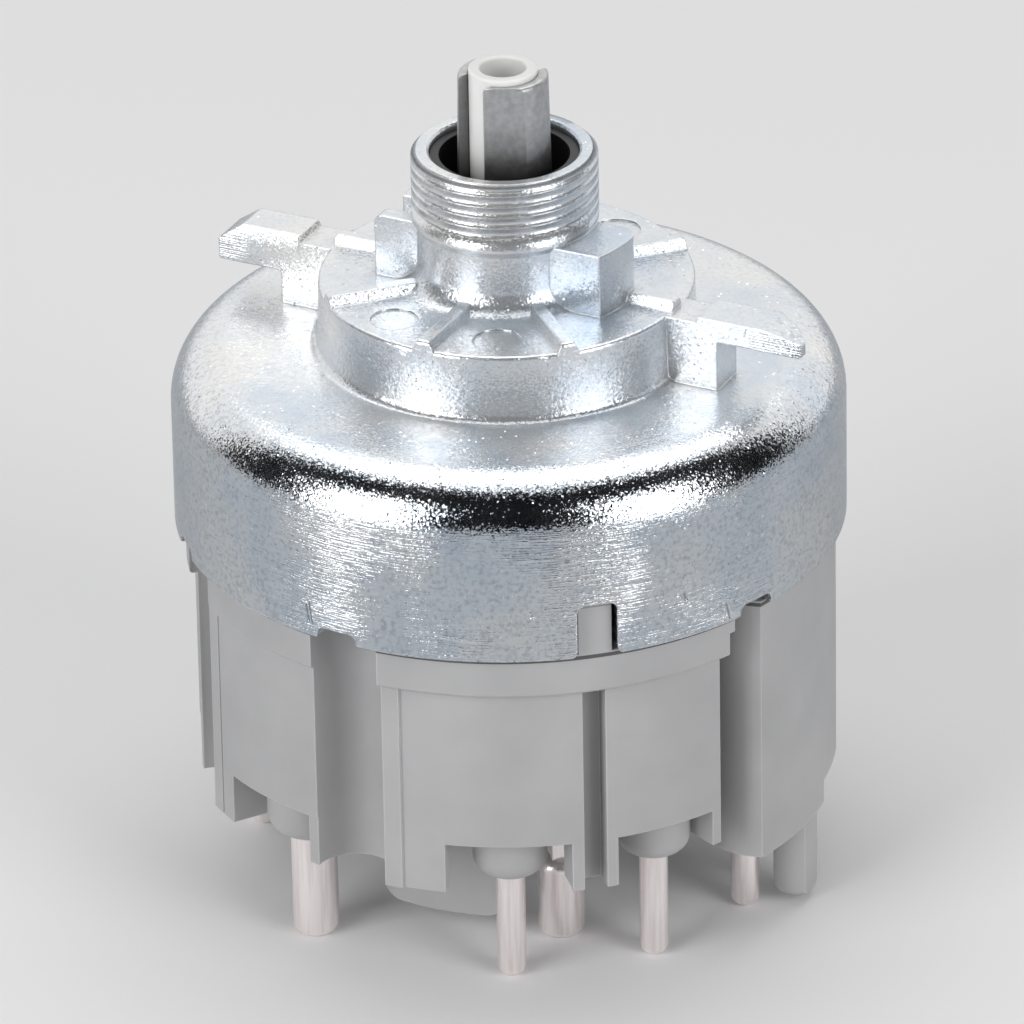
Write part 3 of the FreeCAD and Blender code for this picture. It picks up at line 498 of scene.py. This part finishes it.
def metalMaterial(name, colour, dull, roughness, grainScale, grainDepth, metal=1.0, nook=None):
    look = metalLook
    material, tree, surface = newMaterial(name)
    grain = placeGroup(tree, platedGrain, Scale=grainScale, Specks=look["specks"])
    edge = placeGroup(tree, edgeHighlightAndBevel, Width=look["edge"], Strength=look["edgeStrength"])
    place = tree.nodes.new("ShaderNodeTexCoord")
    cloud = addNode(tree, "ShaderNodeTexNoise", None, Vector=place.outputs["Object"],
                    Scale=look["cloudScale"], Detail=4.0)
    shade = rampNode(tree, cloud.outputs[0], list(zip(look["cloudStops"], (dull, colour))))
    # painted highlight: the edges are drawn lighter than the metal
    shown = mixColours(tree, edge.outputs["Mask"], shade, tintedBy(colour, look["edgeHighlightLift"]))
    if nook:
        # painted shade: darker where it stands close to other walls
        free = addNode(tree, "ShaderNodeAmbientOcclusion", {"samples": 6}, Distance=nook)
        hidden = mapRange(tree, free.outputs["AO"], *look["nookFade"], 0.0, look["nookShade"])
        shown = mixColours(tree, hidden, shown, look["nookColour"])
    tree.links.new(shown, surface.inputs["Base Color"])
    surface.inputs["Metallic"].default_value = metal
    rough = mapRange(tree, cloud.outputs[0], *look["roughFade"], *roughness)
    tree.links.new(rough, surface.inputs["Roughness"])
    tree.links.new(bumpFrom(tree, grain.outputs["Height"], look["grainStrength"], grainDepth,
                            edge.outputs["Normal"]), surface.inputs["Normal"])
    return material


# Drawn pins: pale, with long faint bands that run up the pin
pinLook = {
    "bandStops": (0.35, 0.60),
    "bright": (0.98, 0.915, 0.905),
    "dull": (0.87, 0.80, 0.79),
    "edgeHighlightColour": (0.98, 0.95, 0.94),
    "roughness": 0.30,
    "metal": 0.85,
    "edge": 0.00012,
    "edgeStrength": 3.0,
    "bandStretch": (2600.0, 2600.0, 160.0),
    "bandDepth": 0.000014,
    "crystalScale": 9000.0,
    "crystalTurn": 0.10,
}


def pinMaterial(name):
    look = pinLook
    material, tree, surface = newMaterial(name)
    edge = placeGroup(tree, edgeHighlightAndBevel, Width=look["edge"], Strength=look["edgeStrength"])
    place = tree.nodes.new("ShaderNodeTexCoord")
    stretched = addNode(tree, "ShaderNodeVectorMath", {"operation": "MULTIPLY"}, i0=place.outputs["Object"],
                        i1=look["bandStretch"])
    bands = addNode(tree, "ShaderNodeTexNoise", None, Vector=stretched.outputs[0], Scale=1.0, Detail=3.0)
    shade = rampNode(tree, bands.outputs[0], list(zip(look["bandStops"], (look["dull"], look["bright"]))))
    # painted highlight: the edges of the pin are drawn lighter
    tree.links.new(mixColours(tree, edge.outputs["Mask"], shade, look["edgeHighlightColour"]),
                   surface.inputs["Base Color"])
    surface.inputs["Metallic"].default_value = look["metal"]
    surface.inputs["Roughness"].default_value = look["roughness"]
    bandBump = bumpFrom(tree, bands.outputs[0], 1.0, look["bandDepth"], edge.outputs["Normal"])
    plated = placeGroup(tree, crystals, Scale=look["crystalScale"], Turn=look["crystalTurn"],
                        Normal=bandBump)
    tree.links.new(plated.outputs["Normal"], surface.inputs["Normal"])
    return material


materials = {
    "die_cast_zinc": zincMaterial(),
    "grey_moulding": plasticMaterial("grey moulding", (0.39, 0.39, 0.395), 0.48, 1.6,
                                     rimShadow=(33.0 * mm, 0.18 * mm)),
    "black_moulding": plasticMaterial("black moulding", (0.012, 0.012, 0.013), 0.45, 2.0),
    "natural_moulding": plasticMaterial("natural moulding", (0.78, 0.75, 0.66), 0.42, 1.1),
    "white_pipe": plasticMaterial("white light pipe", (0.83, 0.83, 0.82), 0.35, 1.08),
    "tinned_pin": pinMaterial("tinned pin"),
    "contact_brass": metalMaterial("contact brass", (0.86, 0.66, 0.34), (0.74, 0.53, 0.25), (0.22, 0.38),
                                   4200.0, 0.000005),
    "spring_steel": metalMaterial("spring steel", (0.62, 0.62, 0.64), (0.52, 0.52, 0.54), (0.22, 0.35),
                                  5200.0, 0.000004),
    "bearing_steel": metalMaterial("bearing steel", (0.78, 0.78, 0.80), (0.70, 0.70, 0.72), (0.08, 0.14),
                                   5200.0, 0.000001),
    "sintered_steel": metalMaterial("sintered steel", (0.58, 0.58, 0.585), (0.46, 0.46, 0.465),
                                    (0.36, 0.46), 3600.0, 0.000030, metal=0.85, nook=5.0 * mm),
}
for part in frame["record"]["subparts"]:
    for holder in nodes[part["node"]].material_slots:
        holder.material = materials[part["material_slot"]]
print("materials on", len(nodes), "nodes")


threadCut = {
    "pitch": 1.0,
    "depth": 0.50,
    "turns": 5.6,
    "crest": 8.0,
    "lowest": 62.35,
    "stepsPerTurn": 96,
    "rootFlat": 0.14,
    "crestFlat": 0.16,
    "proud": 0.15,
    "smoothAngle": 32,
}


def threadCutter():
    # a V groove profile, turned up the neck as a screw
    t = threadCut
    crest = (t["crest"] + t["proud"]) * mm
    root = (t["crest"] - t["depth"]) * mm
    half = (t["pitch"] - t["crestFlat"]) / 2 * mm
    low = t["lowest"] * mm
    bpy.ops.object.select_all(action="DESELECT")
    bpy.ops.mesh.primitive_plane_add(size=1.0)
    cutter = bpy.context.object
    cutter.name = "threadCutter"
    widen = half * (1 + t["proud"] / t["depth"])
    flat = t["rootFlat"] / 2 * mm
    corners = [(crest, -widen), (root, -flat), (root, flat), (crest, widen)]
    points = cutter.data.vertices
    order = sorted(range(4), key=lambda i: math.atan2(points[i].co.y, points[i].co.x))
    for index, (radius, high) in zip(order, corners):
        points[index].co = (radius, 0, low + high)
    screw = cutter.modifiers.new("screw", "SCREW")
    screw.axis = "Z"
    screw.angle = math.radians(360 * t["turns"])
    screw.screw_offset = t["pitch"] * t["turns"] * mm
    screw.steps = int(t["stepsPerTurn"] * t["turns"])
    screw.render_steps = screw.steps
    screw.use_merge_vertices = False
    applyAll(cutter)
    bpy.ops.object.mode_set(mode="EDIT")
    bpy.ops.mesh.select_all(action="SELECT")
    bpy.ops.mesh.remove_doubles(threshold=0.0000005)
    bpy.ops.mesh.normals_make_consistent(inside=False)
    bpy.ops.object.mode_set(mode="OBJECT")
    return cutter


def castHousing():
    piece = copyNode("housing", "cast_housing")
    cutter = threadCutter()
    cut = piece.modifiers.new("thread", "BOOLEAN")
    cut.operation = "DIFFERENCE"
    cut.solver = "EXACT"
    cut.object = cutter
    applyAll(piece)
    bpy.data.objects.remove(cutter)
    selectOnly(piece)
    bpy.ops.object.shade_smooth_by_angle(angle=math.radians(threadCut["smoothAngle"]))
    applyAll(piece)
    for holder in piece.material_slots:
        holder.material = materials["die_cast_zinc"]
    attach(piece, "housing")
    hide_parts("housing")
    return piece


housing = castHousing()
print("housing faces", len(housing.data.polygons))


def flatMaterial(name, colour):
    material, tree, surface = newMaterial(name)
    surface.inputs["Base Color"].default_value = (*colour, 1)
    surface.inputs["Roughness"].default_value = 0.9
    surface.inputs["Specular IOR Level"].default_value = 0.0
    return material


floorSetting = {"size": 6.0, "colour": (0.87, 0.87, 0.875)}


def makeFloor():
    bpy.ops.object.select_all(action="DESELECT")
    bpy.ops.mesh.primitive_plane_add(size=floorSetting["size"], location=(0, 0, 0))
    floor = bpy.context.object
    floor.name = "floor"
    floor.data.materials.append(flatMaterial("pale floor", floorSetting["colour"]))


# azimuth and elevation are seen from the object, with azimuth 0 towards the camera
lamps = [
    {"name": "left box", "azimuth": -50, "elevation": 20, "away": 1.1, "size": (0.62, 0.85), "power": 7.0},
    {"name": "right box", "azimuth": 48, "elevation": 20, "away": 1.1, "size": (0.55, 0.80), "power": 5.2},
    {"name": "top box", "azimuth": 180, "elevation": 72, "away": 1.2, "size": (1.2, 0.8), "power": 5.2},
]
lampTarget = (0, 0, 30.0 * mm)


def directionOf(azimuth, elevation):
    a, e = math.radians(azimuth), math.radians(elevation)
    return Vector((math.sin(a) * math.cos(e), -math.cos(a) * math.cos(e), math.sin(e)))


def aimedAt(place, target):
    return (Vector(target) - Vector(place)).to_track_quat("-Z", "Y")


def makeLamps():
    for lamp in lamps:
        data = bpy.data.lights.new(lamp["name"], "AREA")
        data.shape = "RECTANGLE"
        data.size, data.size_y = lamp["size"]
        data.energy = lamp["power"]
        holder = bpy.data.objects.new(lamp["name"], data)
        towards = directionOf(cameraView["azimuth"] + lamp["azimuth"], lamp["elevation"])
        holder.location = towards * lamp["away"]
        holder.rotation_mode = "QUATERNION"
        holder.rotation_quaternion = aimedAt(holder.location, lampTarget)
        bpy.context.scene.collection.objects.link(holder)


def mirrorOnly(card):
    card.visible_camera = False
    card.visible_diffuse = False
    card.visible_shadow = False
    card.visible_transmission = False


# The unlit front of the room, a black card that only mirror-like surfaces see behind the lamps
darkCard = {
    "colour": (0.012, 0.012, 0.013),
    "radius": 1.8,
    "side": 112.0,
    "low": -6.0,
    "high": 74.0,
    "segments": 120,
    "rings": 60,
}


def makeDarkCard():
    setting = darkCard
    bpy.ops.object.select_all(action="DESELECT")
    bpy.ops.mesh.primitive_uv_sphere_add(segments=setting["segments"], ring_count=setting["rings"],
                                         radius=setting["radius"])
    card = bpy.context.object
    card.name = "dark card"
    front = directionOf(cameraView["azimuth"], 0)
    bpy.ops.object.mode_set(mode="EDIT")
    bpy.ops.mesh.select_mode(type="FACE")
    bpy.ops.mesh.select_all(action="DESELECT")
    bpy.ops.object.mode_set(mode="OBJECT")
    for face in card.data.polygons:
        middle = face.center.normalized()
        turn = math.degrees(Vector((middle.x, middle.y)).angle(front.xy, 0.0))
        high = math.degrees(math.asin(middle.z))
        face.select = turn > setting["side"] or not setting["low"] < high < setting["high"]
    bpy.ops.object.mode_set(mode="EDIT")
    bpy.ops.mesh.delete(type="FACE")
    bpy.ops.object.mode_set(mode="OBJECT")
    card.data.materials.append(flatMaterial("unlit room", setting["colour"]))
    mirrorOnly(card)


# A grey card laid on the floor round the part, which only mirror-like surfaces see
greyCard = {"colour": (0.555, 0.575, 0.60), "inner": 0.048, "outer": 0.60, "height": 0.0002, "corners": 96}


def makeGreyCard():
    setting = greyCard
    bpy.ops.object.select_all(action="DESELECT")
    bpy.ops.mesh.primitive_circle_add(vertices=setting["corners"], radius=setting["outer"],
                                      fill_type="NGON")
    card = bpy.context.object
    card.name = "grey card"
    card.data.transform(Matrix.Translation((0, 0, setting["height"])))
    bpy.ops.object.mode_set(mode="EDIT")
    bpy.ops.mesh.select_all(action="SELECT")
    bpy.ops.mesh.inset(thickness=setting["outer"] - setting["inner"])
    bpy.ops.mesh.delete(type="FACE")
    bpy.ops.object.mode_set(mode="OBJECT")
    card.data.materials.append(flatMaterial("grey card", setting["colour"]))
    mirrorOnly(card)


roomView = {"seen": 1.0, "lighting": 0.30}


def makeWorld():
    # white for the camera and for reflections, weaker as a light
    world = bpy.data.worlds.new("studio")
    bpy.context.scene.world = world
    world.use_nodes = True
    tree = world.node_tree
    back = tree.nodes["Background"]
    back.inputs["Color"].default_value = (1, 1, 1, 1)
    light = tree.nodes.new("ShaderNodeLightPath")
    seen = mathNode(tree, "ADD", light.outputs["Is Camera Ray"], light.outputs["Is Glossy Ray"], True)
    seen = mathNode(tree, "ADD", seen, light.outputs["Is Transmission Ray"], True)
    strength = mapRange(tree, seen, 0.0, 1.0, roomView["lighting"], roomView["seen"])
    tree.links.new(strength, back.inputs["Strength"])


cameraView = {
    "azimuth": 26.5,
    "elevation": 27.36,
    "distance": 0.94043,
    "aside": 0.0001,
    "height": 0.03269,
    "roll": -1.041,
    "lens": 382.9,
}


def makeCamera():
    c = cameraView
    a = math.radians(c["azimuth"])
    back = directionOf(c["azimuth"], c["elevation"])
    right = Vector((math.cos(a), math.sin(a), 0))
    data = bpy.data.cameras.new("camera")
    data.lens = c["lens"]
    data.sensor_width = 36
    data.clip_start, data.clip_end = 0.05, 20
    camera = bpy.data.objects.new("camera", data)
    camera.location = right * c["aside"] + Vector((0, 0, c["height"])) + back * c["distance"]
    camera.rotation_mode = "QUATERNION"
    look = (-back).to_track_quat("-Z", "Y")
    camera.rotation_quaternion = look @ Matrix.Rotation(math.radians(c["roll"]), 3, "Z").to_quaternion()
    bpy.context.scene.collection.objects.link(camera)
    bpy.context.scene.camera = camera


makeFloor()
makeCamera()
makeLamps()
makeDarkCard()
makeGreyCard()
makeWorld()
bpy.context.scene.view_settings.view_transform = "Standard"
print("stage ready")

bpy.context.view_layer.update()
